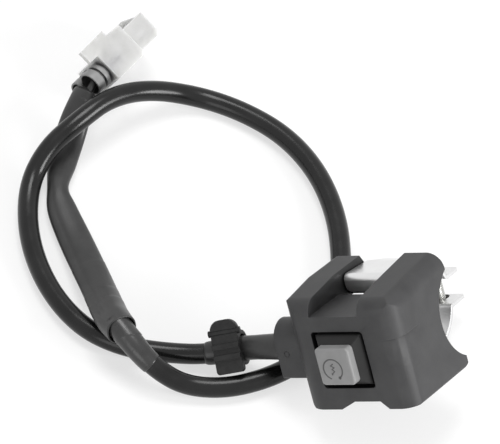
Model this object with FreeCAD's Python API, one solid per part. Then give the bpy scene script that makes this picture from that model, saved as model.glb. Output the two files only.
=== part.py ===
import FreeCAD, Part
import math
import os

# A handlebar starter switch: a moulded housing strapped to a 22 mm bar, a
# sprung push button that bridges two contacts, and a cable with a two-way plug.
# The switch is modelled square in its own frame: X along the bar, -Y out of the
# button's face, +Z towards the strap's channel. It is then laid on the bench.

V = FreeCAD.Vector

# Handlebar, steel straps and their screw
bar_radius = 11.1
sheet = 0.85
strap_width = 11.2
strap_gap = 0.3
band_radius = bar_radius + sheet / 2
plate_angle = 69.4
upper_ear_angle = 20.0
lower_ear_angle = -27.0
lower_end_angle = -124.0
plate_back_y = -2.6
lip_y = -12.975
plate_rise = 0.102
lip_height = 3.95
lip_bend = 0.675
plate_bend = 1.7
ear_bend = 0.575
hook_bend = 0.5
hook_length = 2.4
lip_corner = 1.5
ear_corner = 0.8
least_bend = 0.05
ear_tip_y = 16.9
upper_ear_z = 2.625
lower_ear_z = -4.425
screw_x = -0.35
screw_y = 14.9
screw_radius = 1.5
screw_fit = 0.05
screw_head_radius = 2.7
screw_head_height = 1.9
screw_end_below = 1.2
screw_drive_width = 0.8
screw_drive_length = 3.4
screw_drive_depth = 0.9
ear_hole_gap = 0.1
ear_slot_length = 5.0
washer_radius = 2.8
washer_thickness = 0.5
nut_across_flats = 5.5
nut_thickness = 1.2

# Housing outline
left_x = -13.85
right_x = 18.0
split_x = 0.975
front_y = -30.4
front_bottom_z = -12.5
back_bottom_z = -13.0
back_bottom_y = -6.8
jaw_tip_y = -5.6
jaw_tip_z = -11.8
crease_y = -26.3
crease_z = 15.3
left_ridge = (-16.9, 16.2)
right_ridge = (-15.9, 16.2)
left_top_back = (-4.4, 15.8)
right_top_back = (-5.6, 16.9)
left_jaw_y = -3.0
right_jaw_y = -5.2
saddle_radius = 12.7
saddle_y = 0.7
saddle_z = 1.1
left_corner = 5.7
right_corner = 4.5
left_edge = 2.0
right_edge = 3.9
bottom_left_corner = 4.6
bottom_right_corner = 1.5
front_top_edge = 3.9
margin = 5.0

# Channel for the strap, its rib, and the other recesses of the housing
channel_left_x = -6.0
channel_right_x = 7.95
channel_front_z = 11.5
channel_back_z = 11.0
channel_back_y = -16.1
channel_step = 1.0
channel_end = (-9.9, 8.0)
rib_thickness = 2.65
rib_bottom_z = 9.55
rib_top_z = 13.3
notch_low_left_x = -3.2
notch_low_right_x = 10.4
notch_high_left_x = 1.0
notch_high_right_x = 8.25
notch_depth = 2.0
notch_back_y = -18.0
recess_top_z = 5.3
recess_bottom_z = -3.2
recess_deep = [(12.6, -30.5), (15.0, -29.7), (16.4, -28.3), (17.15, -26.4), (18.05, -20.2)]
recess_flush = [(12.6, -30.5), (15.0, -30.3), (16.8, -29.2), (17.95, -27.5), (18.05, -20.2)]

# Window, chamber and back cover
button_x = 0.75
button_z = 0.35
window_side = 14.65
window_corner = 0.9
front_wall = 2.5
chamber_width = 17.0
chamber_height = 16.8
cover_back_y = -15.4
cover_thickness = 1.5
cover_width = 23.4
cover_pocket_y = -6.9
cover_gap = 0.1
gasket_thickness = 0.5
gasket_open_width = 13.0
gasket_open_height = 8.0
cover_screw_x = (cover_width + chamber_width) / 4 - 0.15
cover_screw_z = 6.0
cover_screw_radius = 0.95
cover_screw_hole = 1.0
cover_screw_length = 6.0
cover_screw_spare = 0.5
cover_head_radius = 1.7
cover_head_height = 1.2
cover_slot_width = 0.5
cover_slot_depth = 0.5

# Push button
button_travel = 2.0
cap_side = 9.5
cap_thickness = 2.3
cap_edge = 0.95
cap_rim = 0.5
cap_proud = 4.0
frame_gap = 0.875
frame_slope = 2.2
frame_top_side = 9.2
flange_gap = 0.4
flange_thickness = 1.0
flange_stop = 0.05
frame_cavity_side = 10.3
frame_front_wall = 1.8
stem_radius = 2.0
stem_fit = 0.1
stub_depth = 1.5
seat_radius = 4.0
seat_thickness = 1.0
bridge_width = 9.0
bridge_height = 3.2
bridge_thickness = 0.6
bridge_gap = 0.1
tip_radius = 1.2
tip_length = 1.6
clip_radius = 2.0
clip_thickness = 0.4
small_fit = 0.05

# Contact carrier, seal, spring and contacts
carrier_gap = 0.2
carrier_front_y = -23.4
stem_bore = 2.1
seal_radius = 2.9
seal_thickness = 0.8
spring_radius = 3.6
spring_wire = 0.5
spring_turns = 5
spring_seat_gap = 0.02
pocket_left = -6.2
pocket_right = 6.2
pocket_low = -3.75
pocket_high = 3.55
pocket_depth = 4.0
lead_slot_low = -3.95
lead_slot_high = 2.25
contact_offset = 4.2
contact_head_radius = 1.1
contact_head_height = 0.7
contact_strip = 0.5
left_strip = (-6.05, -3.05, -1.5, 2.05)
right_strip = (3.05, 6.05, -3.25, 1.5)
lead_radius = 0.7
left_lead = [
    (-9.0, -21.6, 1.2),
    (-8.0, -21.6, 1.2),
    (-6.6, -21.3, 1.3),
    (-4.9, -19.6, 1.6),
]
right_lead = [
    (-9.0, -21.6, -0.9),
    (-8.0, -21.6, -0.9),
    (-6.6, -21.2, -1.5),
    (-4.4, -19.3, -2.5),
    (3.6, -19.3, -2.5),
    (6.0, -19.1, -2.2),
]

# Cable outlet boss
boss_left_x = -20.4
boss_radius = 4.8
boss_corner = 0.6
boss_y = -22.0
boss_top_z = 2.8
boss_bottom_z = -6.05
spigot_radius = 4.0
spigot_gap = 0.05
spigot_end_x = -10.0
throat_radius = 3.0
outlet_z = 0.3
outlet_fit = 0.15
boss_mark_x = -17.6
boss_mark_z = 0.4
boss_mark_radius = 0.8
boss_mark_width = 0.2
boss_mark_depth = 0.15

# Bench pose: the switch rests on its lower jaw, turned about X and then about Y
pitch = -22.421
heel = -26.981

# Cable and what is on it, in the bench frame
cable_radius = 2.5
cable_inner_x = -9.0
cable_route = [
    V(-22.11, -20.22, -1.53),
    V(-34.23, -20.22, -7.70),
    V(-41.4, -23.7, -10.1),
    V(-51.1, -26.3, -11.05),
    V(-61.3, -28.4, -11.05),
    V(-72.8, -26.7, -11.05),
    V(-84.3, -18.7, -11.05),
    V(-94.1, -6.4, -11.05),
    V(-100.0, 7.7, -10.5),
    V(-99.3, 16.8, -6.2),
    V(-94.9, 24.7, -2.8),
    V(-89.9, 33.9, -2.8),
    V(-83.2, 42.6, -6.7),
    V(-73.6, 48.9, -11.05),
    V(-61.7, 48.7, -11.05),
    V(-49.4, 45.6, -11.05),
    V(-38.2, 38.4, -11.05),
    V(-29.0, 27.8, -11.05),
    V(-22.7, 15.7, -11.05),
    V(-18.5, 3.4, -11.05),
    V(-17.6, -9.3, -11.05),
    V(-20.9, -17.7, -11.05),
    V(-26.6, -25.1, -11.05),
    V(-34.2, -31.0, -11.05),
    V(-42.7, -32.9, -10.6),
    V(-49.4, -33.6, -7.0),
    V(-55.4, -32.1, -3.6),
    V(-60.6, -30.1, -2.2),
]
arc_share = 0.45

# Strain relief: distance from the boss and radius
relief_shape = [(0.0, 3.3), (9.0, 2.95), (15.0, 3.0), (19.0, 2.95), (22.0, 2.65)]
relief_step = 2.0
relief_length = 22.0

# Cable clip round the strain relief
clip_at = 15.1
clip_inner = 3.25
clip_wall = 1.0
clip_band_width = 5.5
plate_width = 6.7
plate_low = -5.7
plate_high = 7.3
plate_thickness = 2.0
plate_corner = 2.6
clip_pin_radius = 0.8
clip_pin_length = 7.9
clip_pin_at = 4.3
clip_bars = (-1.7, 0.9)
clip_bar_half = 0.6
clip_bar_rise = 0.7
clip_facing = V(0.233, -0.570, 0.788)

# Tape over the joint of cable and sleeve
tape_radius = 3.3
tape_length = 11.0

# Flat sleeve over the two wires: centre, width, height, roll in degrees
sleeve_stations = [
    (V(-60.6, -30.1, -2.2), 5.8, 5.2, 0),
    (V(-63.6, -26.9, -3.6), 6.8, 4.4, 0),
    (V(-66.8, -23.0, -5.6), 7.2, 3.8, 0),
    (V(-74.1, -14.2, -9.5), 7.2, 3.6, 0),
    (V(-83.2, -3.7, -11.6), 7.2, 3.6, 0),
    (V(-90.8, 4.6, -11.6), 6.6, 3.6, 0),
    (V(-94.1, 10.2, -11.2), 4.8, 3.8, 0),
    (V(-96.1, 17.6, -11.5), 7.0, 3.6, 0),
    (V(-97.2, 24.5, -11.0), 7.4, 3.6, 0),
    (V(-97.6, 30.2, -8.6), 7.4, 3.6, -12),
    (V(-97.5, 34.8, -5.8), 7.0, 3.8, -28),
]

# Two-way plug, in its own frame: X along it, Y to its latch, Z across the pair
plug_origin = V(-93.41, 41.02, -8.00)
plug_heading = 74.03
plug_roll = 27.5
plug_half_width = 6.7
nose_half_width = 5.9
plug_body_end = 10.1
plug_height = 7.6
plug_step = 9.1
plug_corner = 0.4
plug_root = 1.0
nose_end = 17.4
nose_low = 0.9
nose_high = 7.9
nose_chamfer = 1.1
latch_half_width = 3.0
shoulder_start = 4.0
shoulder_top = 9.4
latch_start = 5.5
latch_top = 9.5
latch_knee = 13.3
latch_knee_top = 9.4
latch_end = 16.9
hood_back = -2.7
hood_front = 5.6
hood_top = 11.1
hood_wall = 1.4
wire_y = 3.8
wire_spacing = 6.2
seal_outer = 3.1
seal_socket_gap = 0.05
seal_back = -5.0
seal_front = 3.5
seal_cup_radius = 2.6
seal_cup_depth = 2.2
seal_grooves = [-2.4, -0.5]
seal_groove_width = 0.7
seal_groove_depth = 0.7
wire_radius = 0.9
wire_fit = 0.05
wire_bend_x = -3.2
wire_side = 1.2
wire_overlap = 2.0
cavity_radius = 1.35
cavity_step = 1.0
terminal_side = 1.8
terminal_end = 15.6
retainer_depth = 1.2
retainer_rim = 1.3
retainer_gap = 0.08


def box(x0, x1, y0, y1, z0, z1):
    """Block between two corners."""
    return Part.makeBox(x1 - x0, y1 - y0, z1 - z0, V(x0, y0, z0))


def rod(start, end, radius):
    """Round bar from one point to another."""
    return Part.makeCylinder(radius, (end - start).Length, start, end - start)


def square_bar(side_x, side_z, y0, y1, corner=0.0):
    """Block on the button's axis, with its four long edges rounded."""
    corners = [
        (button_x - side_x / 2, button_z - side_z / 2, corner),
        (button_x + side_x / 2, button_z - side_z / 2, corner),
        (button_x + side_x / 2, button_z + side_z / 2, corner),
        (button_x - side_x / 2, button_z + side_z / 2, corner),
    ]
    return prism("y", corners, y0, y1)


def button_rod(radius, y0, y1, dx=0.0, dz=0.0):
    """Round bar along the button's axis, or beside it."""
    x = button_x + dx
    z = button_z + dz
    return rod(V(x, y0, z), V(x, y1, z), radius)


def bend(start, apex, end):
    """Arc that leaves start towards apex and reaches end from apex."""
    weight = (end - start).Length / 2 / (apex - start).Length
    middle = (start + end + apex * (2 * weight)) * (1 / (2 + 2 * weight))
    return Part.Arc(start, middle, end).toShape()


def rounded_edges(points, radii, closed):
    """Straight runs joined at their corners by tangent arcs."""
    count = len(points)
    arrive = list(points)
    leave = list(points)
    for i in range(count):
        if radii[i] and (closed or 0 < i < count - 1):
            before = (points[i - 1] - points[i]).normalize()
            after = (points[(i + 1) % count] - points[i]).normalize()
            cut = radii[i] / math.tan(before.getAngle(after) / 2)
            arrive[i] = points[i] + before * cut
            leave[i] = points[i] + after * cut
    edges = []
    for i in range(count if closed else count - 1):
        j = (i + 1) % count
        if (arrive[j] - leave[i]).Length > 1e-6:
            edges.append(Part.LineSegment(leave[i], arrive[j]).toShape())
        if (leave[j] - arrive[j]).Length > 1e-6:
            edges.append(bend(arrive[j], points[j], leave[j]))
    return edges


def prism(axis, corners, low, high):
    """Straight block along an axis; a corner is two places and a rounding."""
    points = []
    radii = []
    for corner in corners:
        a, b = corner[:2]
        points.append({"x": V(low, a, b), "y": V(a, low, b), "z": V(a, b, low)}[axis])
        radii.append(corner[2] if len(corner) > 2 else 0)
    along = {"x": V(1, 0, 0), "y": V(0, 1, 0), "z": V(0, 0, 1)}[axis]
    outline = Part.Wire(rounded_edges(points, radii, True))
    return Part.Face(outline).extrude(along * (high - low))


def bent_sheet(line, thickness, half_width):
    """Sheet bent along a middle line of (y, z, middle radius), across X."""
    points = [V(0, y, z) for y, z, radius in line]
    sides = {1: [], -1: []}
    for i, (y, z, radius) in enumerate(line):
        runs = [points[j + 1] - points[j] for j in (i - 1, i) if 0 <= j < len(points) - 1]
        normals = [V(0, -run.z, run.y).normalize() for run in runs]
        shift = normals[0]
        turn = 0
        if len(normals) == 2:
            shift = (normals[0] + normals[1]) * (1 / (1 + normals[0].dot(normals[1])))
            turn = math.copysign(1, normals[0].cross(normals[1]).x)
        for side in sides:
            corner = points[i] + shift * (side * thickness / 2)
            rounding = max(radius - side * turn * thickness / 2, least_bend) if radius else 0
            sides[side].append((corner.y, corner.z, rounding))
    return prism("x", sides[1] + sides[-1][::-1], -half_width, half_width)


def round_end(sheet_shape, y, z, radius):
    """Round the two corners of a strap's end, found from its middle line."""
    corners = [V(side * strap_width / 2, y, z) for side in (-1, 1)]
    chosen = [
        edge
        for edge in sheet_shape.Edges
        if min((edge.CenterOfMass - corner).Length for corner in corners) < sheet / 10
    ]
    return sheet_shape.makeFillet(radius, chosen)


def on_band(angle, radius=band_radius):
    """Point round the bar, at an angle from +Y towards +Z."""
    a = math.radians(angle)
    return radius * math.cos(a), radius * math.sin(a)


def band_corner(angle_a, angle_b):
    """Where the band's tangents at two angles meet."""
    half = math.radians(angle_a - angle_b) / 2
    return on_band((angle_a + angle_b) / 2, band_radius / math.cos(half))


def meet_level(angle, z):
    """Where the band's tangent at an angle reaches a height."""
    a = math.radians(angle)
    y0, z0 = on_band(angle)
    return y0 - (z - z0) * math.tan(a)


def upper_strap_line():
    """Lip, flat plate, quarter band and ear of the upper strap."""
    a = math.radians(plate_angle)
    y0, z0 = on_band(plate_angle)
    back_z = z0 + (y0 - plate_back_y) / math.tan(a)
    lip_top = back_z + (plate_back_y - lip_y) * plate_rise
    ear_y = meet_level(upper_ear_angle, upper_ear_z)
    return [
        (lip_y, lip_top - lip_height, 0),
        (lip_y, lip_top, lip_bend + sheet / 2),
        (plate_back_y, back_z, plate_bend + sheet / 2),
        (*band_corner(plate_angle, upper_ear_angle), band_radius),
        (ear_y, upper_ear_z, ear_bend + sheet / 2),
        (ear_tip_y, upper_ear_z, 0),
    ]


def lower_strap_line(hook):
    """Ear, band and outward hook of the lower strap."""
    a = math.radians(lower_end_angle)
    y0, z0 = on_band(lower_end_angle)
    middle = hook_bend + sheet / 2
    run = middle + least_bend
    corner = (y0 + math.sin(a) * run, z0 - math.cos(a) * run)
    ear_y = meet_level(lower_ear_angle, lower_ear_z)
    return [
        (ear_tip_y, lower_ear_z, 0),
        (ear_y, lower_ear_z, ear_bend + sheet / 2),
        (*band_corner(lower_ear_angle, lower_end_angle), band_radius),
        (*corner, middle),
        (corner[0] + math.cos(a) * hook, corner[1] + math.sin(a) * hook, 0),
    ]


def make_upper_strap():
    """Hooks over the housing's rib and ends in the upper ear."""
    line = upper_strap_line()
    strap = bent_sheet(line, sheet, strap_width / 2)
    strap = round_end(strap, *line[0][:2], lip_corner)
    strap = round_end(strap, *line[-1][:2], ear_corner)
    ear_hole = screw_radius + ear_hole_gap
    low = V(screw_x, screw_y, upper_ear_z - sheet)
    return strap.cut(rod(low, low + V(0, 0, 2 * sheet), ear_hole))


def make_lower_strap():
    """Hooks into the lower jaw; its ear has a slot along the bar."""
    line = lower_strap_line(hook_length)
    strap = bent_sheet(line, sheet, strap_width / 2)
    strap = round_end(strap, *line[0][:2], ear_corner)
    half = ear_slot_length / 2
    wide = screw_radius + ear_hole_gap
    slot = prism(
        "z",
        [
            (screw_x - half, screw_y - wide, wide - least_bend),
            (screw_x + half, screw_y - wide, wide - least_bend),
            (screw_x + half, screw_y + wide, wide - least_bend),
            (screw_x - half, screw_y + wide, wide - least_bend),
        ],
        lower_ear_z - sheet,
        lower_ear_z + sheet,
    )
    return strap.cut(slot)


def make_clamp_washer():
    """Flat washer on the upper ear."""
    low = V(screw_x, screw_y, upper_ear_z + sheet / 2)
    high = low + V(0, 0, washer_thickness)
    return rod(low, high, washer_radius).cut(rod(low, high, screw_radius + screw_fit))


def make_clamp_screw():
    """Pan head on the washer, and a shank down through both ears."""
    seat = upper_ear_z + sheet / 2 + washer_thickness
    head = rod(V(screw_x, screw_y, seat), V(screw_x, screw_y, seat + screw_head_height), screw_head_radius)
    top_edge = [edge for edge in head.Edges if edge.CenterOfMass.z > seat + screw_head_height - sheet / 10]
    head = head.makeFillet(screw_head_height / 2, top_edge)
    bottom = lower_ear_z - sheet / 2 - nut_thickness - screw_end_below
    shank = rod(V(screw_x, screw_y, bottom), V(screw_x, screw_y, seat), screw_radius)
    half = screw_drive_length / 2
    wide = screw_drive_width / 2
    low = seat + screw_head_height - screw_drive_depth
    high = seat + screw_head_height
    drive = box(screw_x - half, screw_x + half, screw_y - wide, screw_y + wide, low, high)
    cross = box(screw_x - wide, screw_x + wide, screw_y - half, screw_y + half, low, high)
    return head.fuse(shank).cut(drive.fuse(cross)).removeSplitter()


def make_clamp_nut():
    """Thin hexagon nut under the lower ear, with flats towards the band."""
    top = lower_ear_z - sheet / 2
    reach = nut_across_flats / 2 / math.cos(math.pi / 6)
    corners = []
    for i in range(6):
        a = i * math.pi / 3
        corners.append((screw_x + reach * math.cos(a), screw_y + reach * math.sin(a)))
    nut = prism("z", corners, top - nut_thickness, top)
    bottom = V(screw_x, screw_y, top - nut_thickness)
    return nut.cut(rod(bottom, bottom + V(0, 0, nut_thickness), screw_radius + screw_fit))


def on_saddle(y, side):
    """Height of the saddle above or below a place along Y."""
    return saddle_z + side * math.sqrt(saddle_radius**2 - (y - saddle_y) ** 2)


def half_block(outer_x, ridge, top_back, jaw_y, corner, edge_radius, bottom_corner):
    """Left or right half of the housing's block, with its outer edges rounded."""
    side = math.copysign(1, outer_x - split_x)
    slope = (ridge[1] - crease_z) / (ridge[0] - crease_y)
    profile = [
        (front_y, front_bottom_z),
        (front_y, crease_z - slope * (crease_y - front_y), front_top_edge),
        ridge,
        top_back,
        (jaw_y, on_saddle(jaw_y, 1)),
        (saddle_y, saddle_z),
        (jaw_tip_y, on_saddle(jaw_tip_y, -1)),
        (jaw_tip_y, jaw_tip_z),
        (back_bottom_y, back_bottom_z),
    ]
    block = prism("x", profile, min(outer_x, split_x), max(outer_x, split_x))
    stations = [
        (front_y - margin, crease_z - slope * (crease_y - front_y + margin)),
        ridge,
        (top_back[0], top_back[1]),
        (top_back[0] + margin, top_back[1]),
    ]
    sections = []
    for y, z in stations:
        points = [
            V(split_x, y, back_bottom_z - margin),
            V(outer_x, y, back_bottom_z - margin),
            V(outer_x, y, z),
            V(split_x, y, z),
        ]
        sections.append(Part.Wire(rounded_edges(points, [0, 0, edge_radius, 0], True)))
    envelope = Part.makeLoft(sections, True, True)
    plan = [
        (split_x, front_y),
        (outer_x, front_y, corner),
        (outer_x, margin),
        (split_x, margin),
    ]
    front = [
        (split_x, back_bottom_z),
        (outer_x, back_bottom_z, bottom_corner),
        (outer_x, top_back[1] + margin),
        (split_x, top_back[1] + margin),
    ]
    if side < 0:
        plan = plan[::-1]
        front = front[::-1]
    block = block.common(prism("z", plan, back_bottom_z - margin, top_back[1] + margin))
    block = block.common(prism("y", front, front_y - margin, margin))
    return block.common(envelope)


def housing_block():
    """The housing's outside, with the saddle for the bar."""
    left = half_block(
        left_x, left_ridge, left_top_back, left_jaw_y, left_corner, left_edge, bottom_left_corner
    )
    right = half_block(
        right_x, right_ridge, right_top_back, right_jaw_y, right_corner, right_edge, bottom_right_corner
    )
    block = left.fuse(right)
    start = V(left_x - margin, saddle_y, saddle_z)
    end = V(right_x + margin, saddle_y, saddle_z)
    return block.cut(rod(start, end, saddle_radius)).removeSplitter()


def cover_front_y():
    """Where the back cover's front face lies."""
    return cover_back_y - cover_thickness


def chamber_back_y():
    """Where the chamber meets the wider pocket of the back cover."""
    return cover_front_y() - gasket_thickness


def cover_screw_places():
    """The four corners of the back cover's screw pattern."""
    return [(sx * cover_screw_x, sz * cover_screw_z) for sx in (-1, 1) for sz in (-1, 1)]


def flank_recess():
    """Shallow hollow round the right corner: a ledge at its top, flush at its bottom."""
    sections = []
    for line, z in ((recess_deep, recess_top_z), (recess_flush, recess_bottom_z)):
        outside = [(right_x + margin, line[-1][1]), (right_x + margin, front_y - margin), (line[0][0], front_y - margin)]
        points = [V(x, y, z) for x, y in line + outside]
        sections.append(Part.makePolygon(points + points[:1]))
    return Part.makeLoft(sections, True, True)


def make_housing(block):
    """Block with its channel, rib, window, chamber, cover pocket and recesses."""
    top = right_top_back[1] + margin
    channel = prism(
        "x",
        [
            (front_y - margin, channel_front_z),
            (front_y, channel_front_z),
            (channel_back_y, channel_back_z),
            (channel_back_y, channel_back_z - channel_step),
            channel_end,
            (margin, channel_end[1]),
            (margin, top),
            (front_y - margin, top),
        ],
        channel_left_x,
        channel_right_x,
    )
    rib_front_y = lip_y + sheet / 2 + strap_gap
    rib = box(
        channel_left_x - 1,
        channel_right_x + 1,
        rib_front_y,
        rib_front_y + rib_thickness,
        rib_bottom_z,
        rib_top_z,
    )
    body = block.cut(channel).fuse(rib)

    cuts = [
        square_bar(window_side, window_side, front_y - 1, front_y + front_wall + 1, window_corner),
        square_bar(chamber_width, chamber_height, front_y + front_wall, chamber_back_y()),
        square_bar(
            cover_width + 2 * cover_gap,
            chamber_height,
            chamber_back_y(),
            cover_pocket_y,
        ),
        prism(
            "y",
            [
                (notch_low_left_x, front_bottom_z - 1),
                (notch_low_right_x, front_bottom_z - 1),
                (notch_low_right_x, front_bottom_z),
                (notch_high_right_x, front_bottom_z + notch_depth),
                (notch_high_left_x, front_bottom_z + notch_depth),
                (notch_low_left_x, front_bottom_z),
            ],
            front_y - 1,
            notch_back_y,
        ),
        flank_recess(),
        rod(
            V(left_x - margin, boss_y, outlet_z),
            V(spigot_end_x + 2 * spigot_gap, boss_y, outlet_z),
            spigot_radius + spigot_gap,
        ),
        rod(V(spigot_end_x, boss_y, outlet_z), V(button_x, boss_y, outlet_z), throat_radius),
        bent_sheet(
            lower_strap_line(hook_length + strap_gap),
            sheet + 2 * strap_gap,
            strap_width / 2 + strap_gap,
        ),
    ]
    for dx, dz in cover_screw_places():
        deep = cover_back_y - cover_screw_length - cover_screw_spare
        cuts.append(button_rod(cover_screw_hole, deep, cover_back_y, dx, dz))
    for shape in cuts:
        body = body.cut(shape)
    return body.removeSplitter()


def make_cable_boss(block):
    """Outlet block with a rounded top, plugged into the housing's left wall."""
    corners = [
        (boss_y - boss_radius, boss_bottom_z, boss_corner),
        (boss_y + boss_radius, boss_bottom_z, boss_corner),
        (boss_y + boss_radius, boss_top_z),
        (boss_y + boss_radius, boss_top_z + boss_radius, boss_radius - least_bend),
        (boss_y - boss_radius, boss_top_z + boss_radius, boss_radius - least_bend),
        (boss_y - boss_radius, boss_top_z),
    ]
    outside = prism("x", corners, boss_left_x, split_x).cut(block)
    pieces = sorted(outside.Solids, key=lambda solid: solid.BoundBox.XMin)
    spigot = rod(V(left_x - margin, boss_y, outlet_z), V(spigot_end_x, boss_y, outlet_z), spigot_radius)
    bore = rod(
        V(boss_left_x - 1, boss_y, outlet_z),
        V(spigot_end_x + 1, boss_y, outlet_z),
        cable_radius + outlet_fit,
    )
    front = boss_y - boss_radius
    mark_start = V(boss_mark_x, front - 1, boss_mark_z)
    mark_end = V(boss_mark_x, front + boss_mark_depth, boss_mark_z)
    ring = rod(mark_start, mark_end, boss_mark_radius).cut(
        rod(mark_start, mark_end, boss_mark_radius - boss_mark_width)
    )
    return pieces[0].fuse(spigot).cut(bore).cut(ring).removeSplitter()


def make_back_cover():
    """Plate that closes the chamber from the bar's side."""
    height = chamber_height - 2 * cover_gap
    cover = square_bar(cover_width, height, cover_front_y(), cover_back_y)
    for dx, dz in cover_screw_places():
        cover = cover.cut(button_rod(cover_screw_hole, cover_front_y(), cover_back_y, dx, dz))
    return cover


def make_cover_gasket():
    """Thin frame under the back cover."""
    height = chamber_height - 2 * cover_gap
    gasket = square_bar(cover_width, height, chamber_back_y(), cover_front_y())
    opening = square_bar(gasket_open_width, gasket_open_height, chamber_back_y(), cover_front_y())
    gasket = gasket.cut(opening)
    for dx, dz in cover_screw_places():
        gasket = gasket.cut(button_rod(cover_screw_hole, chamber_back_y(), cover_front_y(), dx, dz))
    return gasket


def make_cover_screws():
    """Four slotted screws, heads on the bar's side."""
    screws = []
    for dx, dz in cover_screw_places():
        head = button_rod(cover_head_radius, cover_back_y, cover_back_y + cover_head_height, dx, dz)
        shank = button_rod(cover_screw_radius, cover_back_y - cover_screw_length, cover_back_y, dx, dz)
        x = button_x + dx
        z = button_z + dz
        half = cover_slot_width / 2
        top = cover_back_y + cover_head_height
        slot = box(
            x - cover_head_radius,
            x + cover_head_radius,
            top - cover_slot_depth,
            top,
            z - half,
            z + half,
        )
        screws.append(head.fuse(shank).cut(slot).removeSplitter())
    return Part.makeCompound(screws)


def cap_back_y():
    """Where the cap sits on its frame."""
    return front_y - cap_proud + cap_thickness


def seat_back_y():
    """Rear face of the plunger's spring seat."""
    return cap_back_y() + frame_front_wall + seat_thickness


def make_button_cap():
    """Square cap with softened edges and a socket for the plunger's stub."""
    front = front_y - cap_proud
    cap = square_bar(cap_side, cap_side, front, cap_back_y(), cap_edge)
    rim = [edge for edge in cap.Edges if abs(edge.CenterOfMass.y - front) < least_bend]
    cap = cap.makeFillet(cap_rim, rim)
    socket = button_rod(stem_radius + small_fit, cap_back_y() - stub_depth - small_fit, cap_back_y())
    return cap.cut(socket)


def make_button_frame():
    """Sloped surround of the cap, with the flange that stops in the window."""
    base_side = window_side - 2 * frame_gap
    slope_back = cap_back_y() + frame_slope
    flange_front = front_y + front_wall + flange_stop
    flange_back = flange_front + flange_thickness
    sections = []
    for side, y in ((frame_top_side, cap_back_y()), (base_side, slope_back)):
        half = side / 2
        places = [(-1, -1), (1, -1), (1, 1), (-1, 1)]
        points = [V(button_x + sx * half, y, button_z + sz * half) for sx, sz in places]
        sections.append(Part.makePolygon(points + points[:1]))
    body = Part.makeLoft(sections, True, True)
    body = body.fuse(square_bar(base_side, base_side, slope_back, flange_back))
    flange_width = chamber_width - 2 * flange_gap
    flange_height = chamber_height - 2 * flange_gap
    body = body.fuse(square_bar(flange_width, flange_height, flange_front, flange_back))
    cavity_front = cap_back_y() + frame_front_wall
    body = body.cut(square_bar(frame_cavity_side, frame_cavity_side, cavity_front, flange_back))
    return body.cut(button_rod(stem_radius + small_fit, cap_back_y() - 1, cavity_front)).removeSplitter()


def bridge_front_y():
    """Front face of the contact bridge at rest."""
    rest = cover_front_y() - contact_strip - contact_head_height - bridge_gap
    return rest - button_travel - bridge_thickness


def make_plunger():
    """Stub, spring seat, stem and the tip that holds the bridge."""
    stub = button_rod(stem_radius, cap_back_y() - stub_depth, cap_back_y() + frame_front_wall)
    seat = button_rod(seat_radius, cap_back_y() + frame_front_wall, seat_back_y())
    stem = button_rod(stem_radius, seat_back_y(), bridge_front_y())
    tip = button_rod(tip_radius, bridge_front_y(), bridge_front_y() + tip_length)
    return stub.fuse(seat).fuse(stem).fuse(tip).removeSplitter()


def make_contact_bridge():
    """Copper strip that joins the two contacts when the button is pressed."""
    front = bridge_front_y()
    bridge = square_bar(bridge_width, bridge_height, front, front + bridge_thickness)
    return bridge.cut(button_rod(tip_radius + small_fit, front, front + bridge_thickness))


def make_bridge_clip():
    """Push-on ring behind the bridge."""
    front = bridge_front_y() + bridge_thickness
    clip = button_rod(clip_radius, front, front + clip_thickness)
    return clip.cut(button_rod(tip_radius + small_fit, front, front + clip_thickness))


def make_stem_seal():
    """Rubber ring round the stem, in the carrier's counterbore."""
    back = carrier_front_y + seal_thickness
    seal = button_rod(seal_radius, carrier_front_y, back)
    return seal.cut(button_rod(stem_radius + small_fit, carrier_front_y, back))


def make_contact_carrier():
    """Insulating block that guides the stem and frames the contacts."""
    back = chamber_back_y()
    carrier = square_bar(
        chamber_width - 2 * carrier_gap, chamber_height - 2 * carrier_gap, carrier_front_y, back
    )
    front = back - pocket_depth
    pocket = box(
        button_x + pocket_left,
        button_x + pocket_right,
        front,
        back,
        button_z + pocket_low,
        button_z + pocket_high,
    )
    lead_slot = box(
        button_x - chamber_width / 2,
        button_x + pocket_left,
        carrier_front_y,
        back,
        button_z + lead_slot_low,
        button_z + lead_slot_high,
    )
    bore = button_rod(stem_bore, carrier_front_y, back)
    counterbore = button_rod(seal_radius + small_fit, carrier_front_y, carrier_front_y + seal_thickness)
    return carrier.cut(pocket).cut(lead_slot).cut(bore).cut(counterbore)


def make_contact(strip, side):
    """Fixed contact: a strip on the back cover with a riveted head."""
    x0, x1, z0, z1 = strip
    back = cover_front_y()
    front = back - contact_strip
    plate = box(button_x + x0, button_x + x1, front, back, button_z + z0, button_z + z1)
    head = button_rod(contact_head_radius, front - contact_head_height, front, side * contact_offset)
    return plate.fuse(head).removeSplitter()


def make_lead(points):
    """Insulated lead from the cable's end to a contact."""
    radii = [0] + [2 * lead_radius] * (len(points) - 2) + [0]
    edges = rounded_edges(points, radii, False)
    return tube(edges, lead_radius)


def tube(edges, radius):
    """Round tube along a path of lines and arcs."""
    start = edges[0].valueAt(edges[0].FirstParameter)
    heading = edges[0].tangentAt(edges[0].FirstParameter)
    ring = Part.Wire(Part.Circle(start, heading, radius).toShape())
    return Part.Wire(edges).makePipeShell([ring], True, False)


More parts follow.
